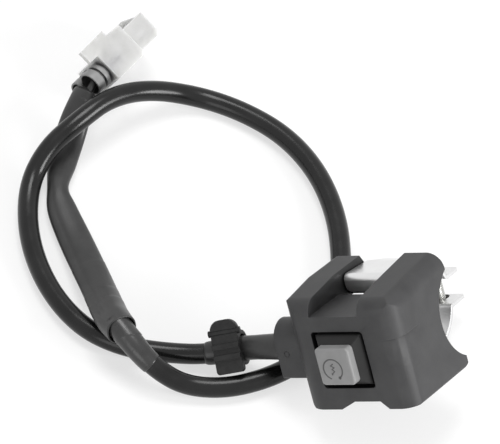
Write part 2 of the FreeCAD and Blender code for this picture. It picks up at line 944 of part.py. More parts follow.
def make_return_spring():
    """Open coil of even pitch, each quarter turn as two tangent arcs."""
    start_y = seat_back_y() + spring_wire / 2 + spring_seat_gap
    end_y = carrier_front_y - spring_wire / 2 - spring_seat_gap
    steps = spring_turns * 4
    rise = (end_y - start_y) / steps
    climb = rise / (math.pi / 2)
    edges = []
    places = []
    for i in range(steps + 1):
        a = i * math.pi / 2
        c = math.cos(a)
        s = math.sin(a)
        point = V(button_x + spring_radius * c, start_y + rise * i, button_z + spring_radius * s)
        heading = V(-spring_radius * s, climb, spring_radius * c).normalize()
        places.append((point, heading))
    for (p, t), (q, u) in zip(places, places[1:]):
        chord = q - p
        across = chord.dot(t + u)
        spread = 2 * (1 - t.dot(u))
        reach = (math.sqrt(across**2 + spread * chord.dot(chord)) - across) / spread
        joint = (p + t * reach + q - u * reach) * 0.5
        edges.append(bend(p, p + t * reach, joint))
        edges.append(bend(joint, q - u * reach, q))
    pitch_gap = 4 * abs(rise) - spring_wire
    print("spring: gap between turns", round(pitch_gap, 2))
    return tube(edges, spring_wire / 2)


def bench_rotation():
    """Turn from the switch's own frame to the bench."""
    about_y = FreeCAD.Rotation(V(0, 1, 0), heel)
    return about_y.multiply(FreeCAD.Rotation(V(1, 0, 0), pitch))


def lay_down(shape):
    """Switch piece in its place on the bench."""
    laid = shape.copy()
    laid.Placement = FreeCAD.Placement(V(0, 0, 0), bench_rotation()).multiply(laid.Placement)
    return laid


def cord_radii(points):
    """Largest tangent arcs that a route's runs allow."""
    radii = [0]
    for before, here, after in zip(points, points[1:], points[2:]):
        run = min((here - before).Length, (after - here).Length)
        turn = (here - before).getAngle(after - here)
        radii.append(arc_share * run / math.tan(turn / 2))
    return radii + [0]


def cable_edges():
    """The cable's path, from inside the boss to the sleeve."""
    radii = cord_radii(cable_route)
    print("cable: least radius", round(min(radii[1:-1]), 1))
    inner = bench_rotation().multVec(V(cable_inner_x, boss_y, outlet_z))
    return rounded_edges([inner] + cable_route[1:], radii, False)


def stretch(edges, start, end):
    """The part of a path between two distances along it."""
    pieces = []
    done = 0.0
    for edge in edges:
        low = max(start - done, 0)
        high = min(end - done, edge.Length)
        if high - low > 1e-6:
            first = edge.getParameterByLength(low)
            last = edge.getParameterByLength(high)
            pieces.append(edge.Curve.toShape(first, last))
        done += edge.Length
    return pieces


def point_at(edges, distance):
    """Point and heading at a distance along a path."""
    piece = stretch(edges, 0, distance + 1e-3)[-1]
    return piece.valueAt(piece.LastParameter), piece.tangentAt(piece.LastParameter)


def relief_radius(distance):
    """Strain relief's radius at a distance from the boss."""
    for (d0, r0), (d1, r1) in zip(relief_shape, relief_shape[1:]):
        if distance <= d1:
            share = (distance - d0) / (d1 - d0)
            return r0 + (r1 - r0) * share
    return relief_shape[-1][1]


def make_strain_relief(edges, cable, exit_at):
    """Moulded sleeve that swells under the clip and thins to the cable."""
    rings = []
    for i in range(int(relief_length / relief_step) + 1):
        distance = i * relief_step
        place, heading = point_at(edges, exit_at + distance)
        ring = Part.Circle(place, heading, relief_radius(distance)).toShape()
        rings.append(Part.Wire(ring))
    return Part.makeLoft(rings, True, True).cut(cable)


def clip_frame(edges, exit_at):
    """Middle of the clip and its three directions: along, up and outward."""
    place, along = point_at(edges, exit_at + clip_at)
    outward = (clip_facing - along * clip_facing.dot(along)).normalize()
    up = along.cross(outward).normalize()
    if up.z < 0:
        up = up * -1
    return place, along, up, outward


def clip_block(frame, along_range, up_range, out_range, corner=0.0):
    """Block in the clip's own directions, rounded at its upper corners."""
    place, along, up, outward = frame
    corners = [
        (along_range[0], up_range[0], corner / 3),
        (along_range[1], up_range[0], corner / 3),
        (along_range[1], up_range[1], corner),
        (along_range[0], up_range[1], corner),
    ]
    points = [place + along * a + up * b + outward * out_range[0] for a, b, r in corners]
    outline = Part.Wire(rounded_edges(points, [r for a, b, r in corners], True))
    return Part.Face(outline).extrude(outward * (out_range[1] - out_range[0]))


def make_clip_band(frame):
    """Ring of the clip round the strain relief."""
    place, along = frame[:2]
    start = place - along * (clip_band_width / 2)
    end = place + along * (clip_band_width / 2)
    return rod(start, end, clip_inner + clip_wall).cut(rod(start, end, clip_inner))


def clip_pin_line(frame, gap=0.0):
    """Ends and radius of the clip's cross pin."""
    place, along, up, outward = frame
    middle = place + up * clip_pin_at + outward * (clip_inner + clip_wall + clip_pin_radius)
    half = along * (clip_pin_length / 2 + gap)
    return middle - half, middle + half, clip_pin_radius + gap


def make_clip_plate(frame):
    """Flat head of the clip, with its raised buckle bars."""
    place, along, up, outward = frame
    half = plate_width / 2
    low = clip_inner + clip_wall / 2
    high = low + plate_thickness
    plate = clip_block(frame, (-half, half), (plate_low, plate_high), (low, high), plate_corner)
    for at in clip_bars:
        rows = (at - clip_bar_half, at + clip_bar_half)
        plate = plate.fuse(clip_block(frame, (-half, half), rows, (low, high + clip_bar_rise)))
    start = place - along * plate_width
    end = place + along * plate_width
    plate = plate.cut(rod(start, end, clip_inner + clip_wall))
    solids = sorted(plate.cut(rod(*clip_pin_line(frame, small_fit))).Solids, key=lambda s: -s.Volume)
    return solids[0].removeSplitter()


def make_clip_pin(frame):
    """Cross pin whose ends stand out of the clip's head."""
    return rod(*clip_pin_line(frame))


def make_tape_wrap(edges, total):
    """Tape tube over the cable's end, up to the sleeve."""
    path = stretch(edges, total - tape_length, total)
    return tube(path, tape_radius).cut(tube(path, cable_radius))


def make_harness_sleeve(edges, total):
    """Flattened sleeve, lofted through ovals."""
    end_heading = point_at(edges, total - 0.01)[1]
    centres = [station[0] for station in sleeve_stations]
    ovals = []
    for i, (centre, width, height, roll) in enumerate(sleeve_stations):
        if i == 0:
            heading = end_heading
        else:
            heading = (centres[min(i + 1, len(centres) - 1)] - centres[i - 1]).normalize()
        across = heading.cross(V(0, 0, 1)).normalize()
        across = FreeCAD.Rotation(heading, roll).multVec(across)
        above = across.cross(heading).normalize()
        oval = Part.Ellipse(centre + across * (width / 2), centre + above * (height / 2), centre)
        ovals.append(Part.Wire(oval.toShape()))
    return Part.makeLoft(ovals, True, True), across


def plug_placement():
    """Where the plug's own frame lies on the bench."""
    about_z = FreeCAD.Rotation(V(0, 0, 1), plug_heading)
    return FreeCAD.Placement(plug_origin, about_z.multiply(FreeCAD.Rotation(V(1, 0, 0), plug_roll)))


def set_plug(shape):
    """Plug piece in its place on the bench."""
    laid = shape.copy()
    laid.Placement = plug_placement().multiply(laid.Placement)
    return laid


def plug_rod(side, radius, x0, x1):
    """Round bar along one of the plug's two ways."""
    z = side * wire_spacing / 2
    return rod(V(x0, wire_y, z), V(x1, wire_y, z), radius)


def retainer_block(gap):
    """The front retainer's block, or its pocket with a gap."""
    half = nose_half_width - retainer_rim + gap
    low = nose_low + nose_chamfer + retainer_rim / 2 - gap
    high = nose_high - retainer_rim / 2 + gap
    back = nose_end - retainer_depth - gap
    return box(back, nose_end, low, high, -half, half)


def make_connector_housing():
    """Plug shell with its nose, latch ramp, guard wall and two cavities."""
    body = prism(
        "z",
        [
            (0, 0, plug_corner),
            (plug_step, 0, plug_corner),
            (plug_body_end, nose_low),
            (plug_body_end, plug_height, plug_corner),
            (0, plug_height),
        ],
        -plug_half_width,
        plug_half_width,
    )
    nose = prism(
        "z",
        [
            (plug_body_end - plug_root, nose_low),
            (nose_end - nose_chamfer, nose_low, plug_corner),
            (nose_end, nose_low + nose_chamfer, plug_corner),
            (nose_end, nose_high, plug_corner),
            (plug_body_end - plug_root, nose_high),
        ],
        -nose_half_width,
        nose_half_width,
    )
    latch = prism(
        "z",
        [
            (latch_start, plug_height - plug_root),
            (latch_end - plug_root, nose_high - plug_root),
            (latch_end, nose_high),
            (latch_knee, latch_knee_top, 2 * plug_corner),
            (latch_start, latch_top, plug_corner),
        ],
        -latch_half_width,
        latch_half_width,
    )
    root = plug_height - plug_root
    hood = box(hood_back, hood_front, root, hood_top, plug_half_width - hood_wall, plug_half_width)
    behind = box(hood_back - 1, 0, plug_height - 2, plug_height, -plug_half_width, plug_half_width)
    shoulder = box(shoulder_start, plug_body_end, root, shoulder_top, -plug_half_width, plug_half_width)
    shell = body.fuse(nose).fuse(shoulder).fuse(latch).fuse(hood).cut(behind)
    for side in (-1, 1):
        shell = shell.cut(plug_rod(side, seal_outer + seal_socket_gap, -1, seal_front + cavity_step))
        shell = shell.cut(plug_rod(side, cavity_radius, 0, nose_end + 1))
    return shell.cut(retainer_block(retainer_gap)).removeSplitter()


def make_connector_retainer():
    """Front plate that keeps the terminals in."""
    plate = retainer_block(0)
    for side in (-1, 1):
        plate = plate.cut(plug_rod(side, cavity_radius, 0, nose_end + 1))
    return plate


def make_wire_seal(side):
    """Ribbed rubber seal with an open cup at the back."""
    seal = plug_rod(side, seal_outer, seal_back, seal_front)
    seal = seal.cut(plug_rod(side, seal_cup_radius, seal_back, seal_back + seal_cup_depth))
    seal = seal.cut(plug_rod(side, wire_radius + wire_fit, seal_back, seal_front))
    half = seal_groove_width / 2
    for at in seal_grooves:
        ring = plug_rod(side, seal_outer + 1, at - half, at + half)
        ring = ring.cut(plug_rod(side, seal_outer - seal_groove_depth, at - half, at + half))
        seal = seal.cut(ring)
    return seal


def make_terminal(side):
    """Square terminal in the plug's cavity."""
    half = terminal_side / 2
    z = side * wire_spacing / 2
    return box(seal_front, terminal_end, wire_y - half, wire_y + half, z - half, z + half)


def make_wire(side, sleeve, across):
    """Wire from the sleeve, through its seal, to the terminal."""
    placement = plug_placement()
    z = side * wire_spacing / 2
    centre = sleeve_stations[-1][0]
    inward = (sleeve_stations[-2][0] - centre).normalize()
    if across.z < 0:
        across = across * -1
    start = centre + across * (side * wire_side)
    turn = placement.multVec(V(wire_bend_x, wire_y, z))
    end = placement.multVec(V(seal_front, wire_y, z))
    back = start + inward * wire_overlap
    edges = rounded_edges([back, start, turn, end], [0, 2 * wire_radius, 3 * wire_radius, 0], False)
    pieces = tube(edges, wire_radius).cut(sleeve).Solids
    return sorted(pieces, key=lambda solid: -solid.Volume)[0]


def lead_points(side):
    """Route of a lead inside the switch, from the cable's end to its contact."""
    end_y = cover_front_y() - contact_strip
    places = left_lead if side < 0 else right_lead
    points = [V(x, y, z) for x, y, z in places]
    return points + [V(points[-1].x, end_y, points[-1].z)]


def make_nodes():
    """Every piece of the switch by name, in its place on the bench."""
    block = housing_block()
    switch = {
        "housing": make_housing(block),
        "cable_boss": make_cable_boss(block),
        "back_cover": make_back_cover(),
        "cover_gasket": make_cover_gasket(),
        "cover_screws": make_cover_screws(),
        "contact_carrier": make_contact_carrier(),
        "contact_left": make_contact(left_strip, -1),
        "contact_right": make_contact(right_strip, 1),
        "lead_left": make_lead(lead_points(-1)),
        "lead_right": make_lead(lead_points(1)),
        "upper_strap": make_upper_strap(),
        "lower_strap": make_lower_strap(),
        "clamp_washer": make_clamp_washer(),
        "clamp_screw": make_clamp_screw(),
        "clamp_nut": make_clamp_nut(),
        "button_cap": make_button_cap(),
        "button_frame": make_button_frame(),
        "plunger": make_plunger(),
        "contact_bridge": make_contact_bridge(),
        "bridge_clip": make_bridge_clip(),
        "stem_seal": make_stem_seal(),
        "return_spring": make_return_spring(),
    }
    nodes = {name: lay_down(shape) for name, shape in switch.items()}

    edges = cable_edges()
    total = sum(edge.Length for edge in edges)
    exit_at = cable_inner_x - boss_left_x
    cable = tube(edges, cable_radius)
    share = cable.Volume / (math.pi * cable_radius**2 * total)
    print("cable: length from the boss", round(total - exit_at, 1), "volume share", round(share, 5))
    frame = clip_frame(edges, exit_at)
    sleeve, across = make_harness_sleeve(edges, total)
    nodes["cable"] = cable
    nodes["strain_relief"] = make_strain_relief(edges, cable, exit_at)
    nodes["clip_band"] = make_clip_band(frame)
    nodes["clip_plate"] = make_clip_plate(frame)
    nodes["clip_pin"] = make_clip_pin(frame)
    nodes["tape_wrap"] = make_tape_wrap(edges, total)
    nodes["harness_sleeve"] = sleeve
    nodes["connector_housing"] = set_plug(make_connector_housing())
    nodes["connector_retainer"] = set_plug(make_connector_retainer())
    for name, side in (("upper", 1), ("lower", -1)):
        nodes["seal_" + name] = set_plug(make_wire_seal(side))
        nodes["terminal_" + name] = set_plug(make_terminal(side))
        nodes["wire_" + name] = make_wire(side, sleeve, across)
    return nodes


os.makedirs("parts", exist_ok=True)
for name, shape in make_nodes().items():
    low = shape.BoundBox
    print(
        name,
        shape.isValid(),
        len(shape.Solids),
        round(shape.Volume, 2),
        [round(v, 2) for v in (low.XMin, low.YMin, low.ZMin, low.XMax, low.YMax, low.ZMax)],
    )
    shape.exportStep(f"parts/{name}.step")
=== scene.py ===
import math

import bmesh
import bpy
from mathutils import Matrix, Vector


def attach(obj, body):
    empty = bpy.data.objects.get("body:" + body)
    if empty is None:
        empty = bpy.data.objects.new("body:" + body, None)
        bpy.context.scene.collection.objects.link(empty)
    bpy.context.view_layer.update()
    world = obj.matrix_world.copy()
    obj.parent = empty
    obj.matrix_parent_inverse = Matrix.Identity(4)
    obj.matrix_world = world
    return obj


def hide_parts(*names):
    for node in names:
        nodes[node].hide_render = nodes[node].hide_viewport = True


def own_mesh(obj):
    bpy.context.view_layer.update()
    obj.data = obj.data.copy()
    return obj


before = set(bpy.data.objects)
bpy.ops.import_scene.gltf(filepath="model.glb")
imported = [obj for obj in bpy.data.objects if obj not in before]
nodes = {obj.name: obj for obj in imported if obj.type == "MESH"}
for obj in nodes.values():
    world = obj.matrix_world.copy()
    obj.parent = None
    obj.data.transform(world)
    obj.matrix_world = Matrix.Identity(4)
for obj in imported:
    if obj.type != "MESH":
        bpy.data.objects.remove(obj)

scene = bpy.context.scene
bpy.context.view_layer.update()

# The viewpoint: a long lens 4.2 m off, 52 degrees above the bench and 22 degrees round
# to the right of its front, so that the switch keeps its true proportions.
sensor_width = 36
photo_pixels = 500
pixels_per_mm = 4.2
view_right = Vector((0.92533, 0.37913, 0.0))
view_up = Vector((-0.29883, 0.72919, 0.61563))
view_back = view_right.cross(view_up)
frame_width = photo_pixels / pixels_per_mm / 1000
camera_distance = 4.2
aim = view_right * -0.037 + view_up * 0.020476
camera_data = bpy.data.cameras.new("bench_camera")
camera_data.sensor_width = sensor_width
camera_data.lens = sensor_width * camera_distance / frame_width
camera = bpy.data.objects.new("bench_camera", camera_data)
camera_axes = Matrix((view_right, view_up, view_back)).transposed().to_4x4()
camera.matrix_world = Matrix.Translation(aim + view_back * camera_distance) @ camera_axes
scene.collection.objects.link(camera)
scene.camera = camera
scene.view_settings.view_transform = "Standard"

# The bench: a plain white sheet of card under the switch, pale enough to vanish into
# the background, with the soft contact shadow left on it.
bench_z = -0.01395
bench_half = 3.0
bench_glow = 0.62


def math_node(tree, operation, *values, clamp=False):
    """Math node fed by sockets or numbers."""
    node = tree.nodes.new("ShaderNodeMath")
    node.operation = operation
    node.use_clamp = clamp
    for socket, value in zip(node.inputs, values):
        if isinstance(value, (int, float)):
            socket.default_value = value
        else:
            tree.links.new(value, socket)
    return node.outputs[0]


def white_backdrop(tree, surface, strength):
    """Seen directly, in a reflection or through something clear, the backdrop is plain white."""
    path = tree.nodes.new("ShaderNodeLightPath")
    direct = math_node(tree, "MAXIMUM", path.outputs["Is Camera Ray"], path.outputs["Is Glossy Ray"])
    seen = math_node(tree, "MAXIMUM", direct, path.outputs["Is Transmission Ray"])
    glow = tree.nodes.new("ShaderNodeEmission")
    glow.inputs["Color"].default_value = (1, 1, 1, 1)
    mix = tree.nodes.new("ShaderNodeMixShader")
    tree.links.new(math_node(tree, "MULTIPLY", seen, strength), mix.inputs[0])
    tree.links.new(surface, mix.inputs[1])
    tree.links.new(glow.outputs[0], mix.inputs[2])
    return mix.outputs[0]


bench_mesh = bpy.data.meshes.new("bench")
bench_corners = [(-bench_half, -bench_half), (bench_half, -bench_half)]
bench_corners += [(bench_half, bench_half), (-bench_half, bench_half)]
bench_mesh.from_pydata([(x, y, bench_z) for x, y in bench_corners], [], [(0, 1, 2, 3)])
bench = bpy.data.objects.new("bench", bench_mesh)
scene.collection.objects.link(bench)
card = bpy.data.materials.new("white_card")
card.use_nodes = True
card_paper = card.node_tree.nodes["Principled BSDF"]
card_paper.inputs["Base Color"].default_value = (0.98, 0.98, 0.98, 1)
card_paper.inputs["Roughness"].default_value = 0.9
card_paper.inputs["Specular IOR Level"].default_value = 0.1
card_out = card.node_tree.nodes["Material Output"]
card_surface = white_backdrop(card.node_tree, card_paper.outputs[0], bench_glow)
card.node_tree.links.new(card_surface, card_out.inputs["Surface"])
bench_mesh.materials.append(card)

# The light: a white tent all round, a softbox high over the cable's loop, one low at the
# right, which lights the flank, and a weak one in front.
tent_level = 0.45
lamps_aim = Vector((-0.04, 0.0, 0.0))
world = bpy.data.worlds.new("light_tent")
scene.world = world
world.use_nodes = True
tent = world.node_tree.nodes["Background"]
tent.inputs["Color"].default_value = (1, 1, 1, 1)
tent.inputs["Strength"].default_value = tent_level
tent_surface = white_backdrop(world.node_tree, tent.outputs[0], 1.0)
world.node_tree.links.new(tent_surface, world.node_tree.nodes["World Output"].inputs["Surface"])


def softbox(name, place, size, watts):
    """Square area light that faces the switch."""
    lamp = bpy.data.lights.new(name, "AREA")
    lamp.size = size
    lamp.energy = watts
    box = bpy.data.objects.new(name, lamp)
    box.location = place
    box.rotation_euler = (lamps_aim - Vector(place)).to_track_quat("-Z", "Y").to_euler()
    scene.collection.objects.link(box)


softbox("softbox_above", (-0.13, 0.22, 0.88), 0.4, 4.3)
softbox("softbox_right", (0.8, -0.1, 0.35), 0.4, 7.5)
softbox("softbox_front", (-0.25, -0.9, 0.35), 0.5, 1.7)

# The housing: a block moulded in one piece of black glass-filled nylon, with a fine
# spark-eroded skin, a channel across its top for the clamp and a saddle behind.
grain_scale = 2600
grain_height = 0.00005
mottle_scale = 180.0
mottle_gain = 2.4
mottle_start = -0.7
gloss_spread = 0.12
edge_radius = 0.0003
edge_contrast = 6.0
# Painted sheen: near edges the base colour is lifted towards a lighter tone.
edge_sheen_gain = 1.6
edge_sheen_lift = 0.01
# Painted shade: in recesses the base colour is darkened towards a near-black copy.
hollow_gain = 2.2
hollow_start = -0.4
painted_shade_share = 0.12
broken_edge_steps = 2
broken_edge_angle = math.radians(40)
housing_black = (0.036, 0.036, 0.037)
housing_grey = (0.05, 0.05, 0.051)


def new_group(name, inputs, outputs):
    """Empty shader node group with named sockets."""
    group = bpy.data.node_groups.new(name, "ShaderNodeTree")
    for socket, kind, value in inputs:
        made = group.interface.new_socket(socket, in_out="INPUT", socket_type=kind)
        made.default_value = value
    for socket, kind in outputs:
        group.interface.new_socket(socket, in_out="OUTPUT", socket_type=kind)
    start = group.nodes.new("NodeGroupInput")
    end = group.nodes.new("NodeGroupOutput")
    return group, start, end


def moulded_skin_group():
    """Two sizes of grain: a height for the bump and a soft mottle for the colour."""
    group, start, end = new_group(
        "moulded_skin",
        [("Scale", "NodeSocketFloat", grain_scale), ("Mottle Scale", "NodeSocketFloat", mottle_scale)],
        [("Height", "NodeSocketFloat"), ("Mottle", "NodeSocketFloat")],
    )
    place = group.nodes.new("ShaderNodeTexCoord")
    fine = group.nodes.new("ShaderNodeTexNoise")
    fine.inputs["Detail"].default_value = 2
    fine.inputs["Roughness"].default_value = 0.6
    broad = group.nodes.new("ShaderNodeTexNoise")
    broad.inputs["Detail"].default_value = 4
    broad.inputs["Roughness"].default_value = 0.55
    link = group.links.new
    for texture in (fine, broad):
        link(place.outputs["Object"], texture.inputs["Vector"])
    link(start.outputs["Scale"], fine.inputs["Scale"])
    link(start.outputs["Mottle Scale"], broad.inputs["Scale"])
    link(fine.outputs["Fac"], end.inputs["Height"])
    mottle = math_node(group, "MULTIPLY_ADD", broad.outputs["Fac"], mottle_gain, mottle_start, clamp=True)
    link(mottle, end.inputs["Mottle"])
    return group


def edge_light_group():
    """Rounds the normal near edges and gives a mask of where the edges are."""
    group, start, end = new_group(
        "edge_light",
        [("Radius", "NodeSocketFloat", edge_radius)],
        [("Edge", "NodeSocketFloat"), ("Normal", "NodeSocketVector")],
    )
    bevel = group.nodes.new("ShaderNodeBevel")
    bevel.samples = 6
    true_normal = group.nodes.new("ShaderNodeNewGeometry")
    dot = group.nodes.new("ShaderNodeVectorMath")
    dot.operation = "DOT_PRODUCT"
    link = group.links.new
    link(start.outputs["Radius"], bevel.inputs["Radius"])
    link(bevel.outputs["Normal"], dot.inputs[0])
    link(true_normal.outputs["Normal"], dot.inputs[1])
    bent = math_node(group, "SUBTRACT", 1.0, dot.outputs["Value"])
    link(math_node(group, "MULTIPLY", bent, edge_contrast, clamp=True), end.inputs["Edge"])
    link(bevel.outputs["Normal"], end.inputs["Normal"])
    return group


def recess_shade_group():
    """Mask of recesses and slits, for painted shade where little light comes in."""
    group, start, end = new_group(
        "recess_shade",
        [("Reach", "NodeSocketFloat", 0.008)],
        [("Hollow", "NodeSocketFloat")],
    )
    nearby = group.nodes.new("ShaderNodeAmbientOcclusion")
    nearby.samples = 8
    group.links.new(start.outputs["Reach"], nearby.inputs["Distance"])
    closed = math_node(group, "SUBTRACT", 1.0, nearby.outputs["AO"])
    hollow = math_node(group, "MULTIPLY_ADD", closed, hollow_gain, hollow_start, clamp=True)
    group.links.new(hollow, end.inputs["Hollow"])
    return group


moulded_skin = moulded_skin_group()
edge_light = edge_light_group()
recess_shade = recess_shade_group()


def blend(tree, share, low, high):
    """Mix of two colours, each a socket or three numbers."""
    node = tree.nodes.new("ShaderNodeMix")
    node.data_type = "RGBA"
    tree.links.new(share, node.inputs[0])
    for socket, colour in ((node.inputs[6], low), (node.inputs[7], high)):
        if isinstance(colour, tuple):
            socket.default_value = (*colour, 1)
        else:
            tree.links.new(colour, socket)
    return node.outputs[2]


def add_relief(tree, height, strength, distance, radius):
    """Bump over normals that are rounded at the edges; gives the mask of the edges."""
    edges = tree.nodes.new("ShaderNodeGroup")
    edges.node_tree = edge_light
    edges.inputs["Radius"].default_value = radius
    relief = tree.nodes.new("ShaderNodeBump")
    relief.inputs["Strength"].default_value = strength
    relief.inputs["Distance"].default_value = distance
    tree.links.new(height, relief.inputs["Height"])
    tree.links.new(edges.outputs["Normal"], relief.inputs["Normal"])
    tree.links.new(relief.outputs["Normal"], tree.nodes["Principled BSDF"].inputs["Normal"])
    return edges.outputs["Edge"]


def moulded(
    name,
    dark,
    light,
    rough,
    bump=0.25,
    grain=grain_scale,
    mottle=mottle_scale,
    edge_sheen_share=0.35,
    hollow_shade=0.0,
    **shader,
):
    """Moulded plastic or rubber: mottled colour, painted sheen on the edges, painted shade in recesses, grain
    in the bump.
    """
    material = bpy.data.materials.new(name)
    material.use_nodes = True
    tree = material.node_tree
    link = tree.links.new
    surface = tree.nodes["Principled BSDF"]
    skin = tree.nodes.new("ShaderNodeGroup")
    skin.node_tree = moulded_skin
    skin.inputs["Scale"].default_value = grain
    skin.inputs["Mottle Scale"].default_value = mottle
    edge = add_relief(tree, skin.outputs["Height"], bump, grain_height, edge_radius)
    tone = blend(tree, skin.outputs["Mottle"], dark, light)
    # Painted sheen: the edge mask mixes a lighter copy of the colour into the base colour.
    edge_sheen = tuple(min(1.0, c * edge_sheen_gain + edge_sheen_lift) for c in light)
    tone = blend(tree, math_node(tree, "MULTIPLY", edge, edge_sheen_share), tone, edge_sheen)
    # Painted shade: the recess mask darkens the base colour.
    if hollow_shade:
        recess = tree.nodes.new("ShaderNodeGroup")
        recess.node_tree = recess_shade
        depth = math_node(tree, "MULTIPLY", recess.outputs["Hollow"], hollow_shade)
        tone = blend(tree, depth, tone, tuple(c * painted_shade_share for c in dark))
    link(tone, surface.inputs["Base Color"])
    gloss = math_node(tree, "MULTIPLY_ADD", skin.outputs["Mottle"], gloss_spread, rough - gloss_spread / 2)
    link(gloss, surface.inputs["Roughness"])
    for socket, value in shader.items():
        surface.inputs[socket.replace("_", " ")].default_value = value
    return material


def dress(name, material):
    """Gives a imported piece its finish."""
    data = nodes[name].data
    data.materials.clear()
    data.materials.append(material)


def soften(name, width):
    """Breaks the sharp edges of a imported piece, as its mould or press does."""
    piece = nodes[name]
    for polygon in piece.data.polygons:
        polygon.use_smooth = True
    weld = piece.modifiers.new("join_faces", "WELD")
    weld.merge_threshold = 0.000002
    bevel = piece.modifiers.new("broken_edges", "BEVEL")
    bevel.width = width
    bevel.segments = broken_edge_steps
    bevel.limit_method = "ANGLE"
    bevel.angle_limit = broken_edge_angle
    bevel.use_clamp_overlap = True
    weights = piece.modifiers.new("flat_faces", "WEIGHTED_NORMAL")
    weights.keep_sharp = False


# Painted sheen lightens the housing's edges and painted shade darkens its channel and other recesses.
housing_plastic = moulded(
    "housing_plastic",
    housing_black,
    housing_grey,
    0.5,
    bump=0.35,
    hollow_shade=0.9,
    Specular_IOR_Level=0.28,
)
dress("housing", housing_plastic)
soften("housing", 0.00022)

# The cable outlet: a block with a rounded top, moulded apart and pressed into the
# housing's left wall; a small ring is moulded in its front face.
outlet_plastic = moulded(
    "outlet_plastic",
    (0.032, 0.032, 0.033),
    (0.045, 0.045, 0.046),
    0.48,
    bump=0.3,
    Specular_IOR_Level=0.3,
)
dress("cable_boss", outlet_plastic)
soften("cable_boss", 0.0001)

# The back cover, its gasket and its four slotted screws close the housing from the
# bar's side. They show only between the straps and in the other views.
screw_zinc = bpy.data.materials.new("screw_zinc")
dress("back_cover", housing_plastic)
dress("cover_gasket", moulded("gasket_rubber", (0.02, 0.02, 0.02), (0.03, 0.03, 0.03), 0.7))
dress("cover_screws", screw_zinc)

# The clamp's two straps: bright plated spring steel, cut and bent from 0.85 mm sheet,
# lightly brushed along the strap, with fine streaks in their gloss.
streak_scale = 900.0
streak_height = 0.00003
streak_bump = 0.08
streak_gloss = 0.16
tarnish_scale = 90.0
metal_edge_radius = 0.0002


def brushed_group():
    """Long fine streaks along the strap, and a slow tarnish."""
    group, start, end = new_group(
        "brushed_metal",
        [("Streaks", "NodeSocketFloat", streak_scale), ("Tarnish Scale", "NodeSocketFloat", tarnish_scale)],
        [("Streak", "NodeSocketFloat"), ("Tarnish", "NodeSocketFloat")],
    )
    place = group.nodes.new("ShaderNodeTexCoord")
    turned = group.nodes.new("ShaderNodeVectorRotate")
    turned.rotation_type = "EULER_XYZ"
    turned.inputs["Rotation"].default_value = (0.391, 0.471, 0.0)
    stretched = group.nodes.new("ShaderNodeMapping")
    stretched.inputs["Scale"].default_value = (1.0, 0.05, 0.05)
    streak = group.nodes.new("ShaderNodeTexNoise")
    streak.inputs["Detail"].default_value = 3
    tarnish = group.nodes.new("ShaderNodeTexNoise")
    tarnish.inputs["Detail"].default_value = 4
    link = group.links.new
    link(place.outputs["Object"], turned.inputs["Vector"])
    link(turned.outputs["Vector"], stretched.inputs["Vector"])
    link(stretched.outputs["Vector"], streak.inputs["Vector"])
    link(start.outputs["Streaks"], streak.inputs["Scale"])
    link(place.outputs["Object"], tarnish.inputs["Vector"])
    link(start.outputs["Tarnish Scale"], tarnish.inputs["Scale"])
    link(streak.outputs["Fac"], end.inputs["Streak"])
    link(tarnish.outputs["Fac"], end.inputs["Tarnish"])
    return group


brushed_metal = brushed_group()


def metal(material, dark, light, rough, streaks=streak_scale):
    """Plated or bare metal with streaks in its gloss."""
    material.use_nodes = True
    tree = material.node_tree
    link = tree.links.new
    surface = tree.nodes["Principled BSDF"]
    surface.inputs["Metallic"].default_value = 1.0
    brush = tree.nodes.new("ShaderNodeGroup")
    brush.node_tree = brushed_metal
    brush.inputs["Streaks"].default_value = streaks
    add_relief(tree, brush.outputs["Streak"], streak_bump, streak_height, metal_edge_radius)
    link(blend(tree, brush.outputs["Tarnish"], dark, light), surface.inputs["Base Color"])
    gloss = math_node(tree, "MULTIPLY_ADD", brush.outputs["Streak"], streak_gloss, rough - streak_gloss / 2)
    link(gloss, surface.inputs["Roughness"])
    return material


strap_steel = metal(bpy.data.materials.new("strap_steel"), (0.66, 0.66, 0.66), (0.82, 0.82, 0.82), 0.34)
for strap in ("upper_strap", "lower_strap"):
    dress(strap, strap_steel)
    soften(strap, 0.00012)

# The clamp's screw, washer and thin nut: zinc-plated steel. The screw has a cross
# slot and a rolled thread of half a millimetre a turn.
metal(screw_zinc, (0.5, 0.5, 0.48), (0.7, 0.7, 0.68), 0.28, streaks=1500.0)
for fastener in ("clamp_washer", "clamp_nut"):
    dress(fastener, screw_zinc)
soften("clamp_washer", 0.00008)
soften("clamp_nut", 0.00012)
switch_axes = Matrix(((0.8912, 0.1730, -0.4194), (0.0, 0.9244, 0.3814), (0.4537, -0.3399, 0.8238)))
screw_at = (-0.35, 14.9)
screw_seat_z = 3.55
screw_tip_z = -7.25
thread_crest = 1.47
thread_root = 1.2
thread_pitch = 0.5
thread_top_z = 3.0
thread_rows = 8
flank_start = 1.6
flank_slope = 3.2
neck_radius = 1.42
tip_radius = 0.95
tip_slope = 0.8
head_profile = [
    (5.45, 0.01),
    (5.45, 1.5),
    (5.38, 1.95),
    (5.15, 2.4),
    (4.85, 2.62),
    (4.5, 2.7),
    (3.62, 2.7),
    (3.55, 2.62),
    (3.55, 1.45),
]
slot_length = 3.4
slot_width = 0.8
slot_depth = 0.9
screw_sides = 40
row_gap = 0.001


def switch_point(x, y, z):
    """Point of the switch's own frame, in millimetres, on the bench, in metres."""
    return switch_axes @ Vector((x, y, z)) / 1000


def screw_radius(z, turn):
    """Radius of the rolled thread at a height and a share of a turn, run out at its tip."""
    if z > thread_top_z:
        return neck_radius
    phase = (z / thread_pitch - turn) % 1.0
    rise = max(0.0, min(1.0, flank_start - flank_slope * abs(phase - 0.5)))
    radius = thread_root + (thread_crest - thread_root) * rise
    return min(radius, tip_radius + tip_slope * (z - screw_tip_z))


